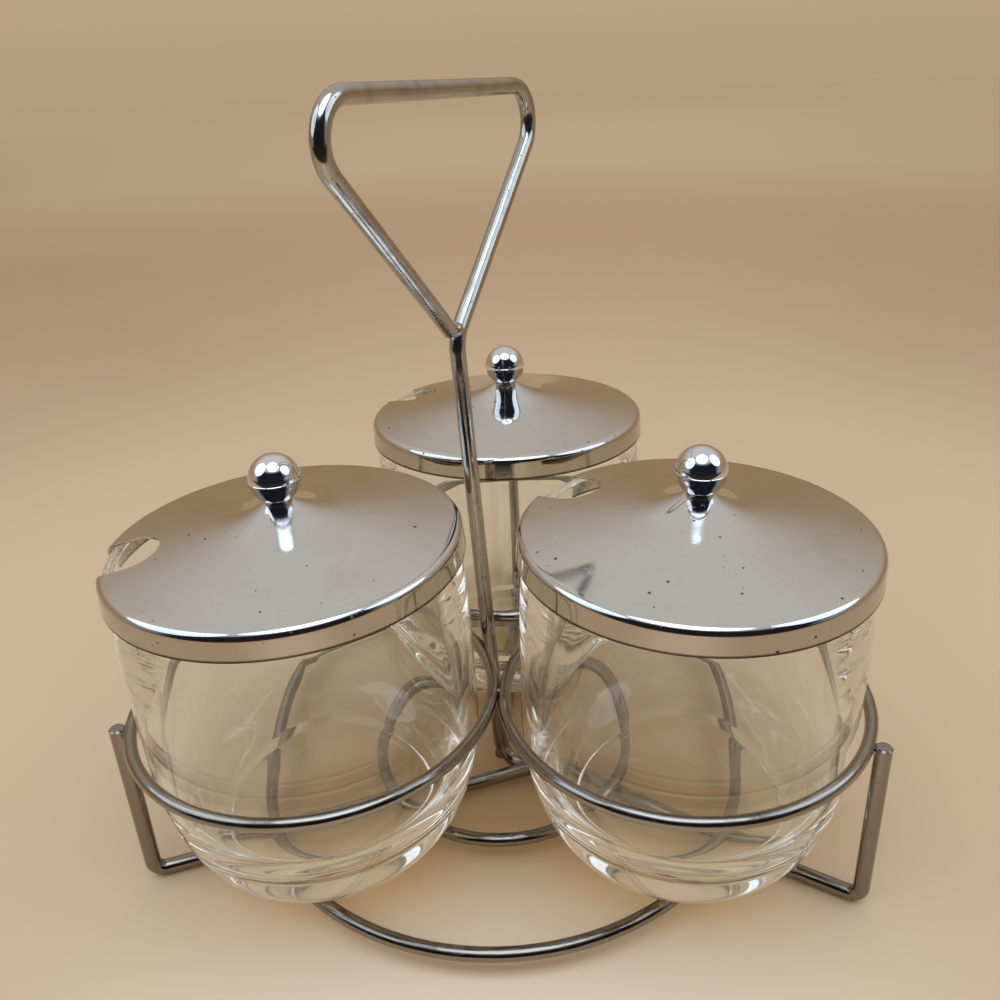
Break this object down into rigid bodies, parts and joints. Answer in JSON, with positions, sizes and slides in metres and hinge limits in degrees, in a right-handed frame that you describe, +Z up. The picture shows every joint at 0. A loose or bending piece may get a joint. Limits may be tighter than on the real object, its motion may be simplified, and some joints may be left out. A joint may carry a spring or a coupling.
{
  "type": "condiment caddy",
  "caption": "Chromed wire table caddy with a triangular hand loop, ring seats, glass condiment jars and lift-off lids with ball knobs and spoon notches.",
  "frame": {"origin": "on the table under the middle of the jars", "axes": "+Z up, -Y towards the front, +Y towards the back jar, +X to the right"},
  "size_m": [0.2014, 0.1899, 0.205],
  "materials": {
    "rack_chrome": "bright plating with light pitting",
    "jar_glass": "clear",
    "lid_steel": "satin with small scratches",
    "knob_chrome": "polished",
    "screw_steel": "plain"
  },
  "bodies": {
    "rack": {"handle_wire": "rack_chrome", "leg_left": "rack_chrome", "leg_back": "rack_chrome", "base_ring": "rack_chrome", "center_ring": "rack_chrome", "jar_ring_left": "rack_chrome", "jar_ring_right": "rack_chrome", "jar_ring_back": "rack_chrome"},
    "jar_left_body": {"jar_left": "jar_glass"},
    "lid_left_body": {"lid_left": "lid_steel", "knob_left": "knob_chrome", "knob_screw_left": "screw_steel"},
    "jar_right_body": {"jar_right": "jar_glass"},
    "lid_right_body": {"lid_right": "lid_steel", "knob_right": "knob_chrome", "knob_screw_right": "screw_steel"},
    "jar_back_body": {"jar_back": "jar_glass"},
    "lid_back_body": {"lid_back": "lid_steel", "knob_back": "knob_chrome", "knob_screw_back": "screw_steel"}
  },
  "joints": [
    {"name": "jar_left_lift", "type": "slide", "parent": "rack", "child": "jar_left_body", "axis": [-0.0862, -0.0498, 0.995], "range_m": [0, 0.046]},
    {"name": "lid_left_lift", "type": "slide", "parent": "jar_left_body", "child": "lid_left_body", "axis": [-0.0174, -0.01, 0.9998], "range_m": [0, 0.0065]},
    {"name": "jar_right_lift", "type": "slide", "parent": "rack", "child": "jar_right_body", "axis": [0.0862, -0.0498, 0.995], "range_m": [0, 0.046]},
    {"name": "lid_right_lift", "type": "slide", "parent": "jar_right_body", "child": "lid_right_body", "axis": [0.0174, -0.01, 0.9998], "range_m": [0, 0.0065]},
    {"name": "jar_back_lift", "type": "slide", "parent": "rack", "child": "jar_back_body", "axis": [0, 0.0995, 0.995], "range_m": [0, 0.046]},
    {"name": "lid_back_lift", "type": "slide", "parent": "jar_back_body", "child": "lid_back_body", "axis": [0, 0.0201, 0.9998], "range_m": [0, 0.0065]}
  ]
}
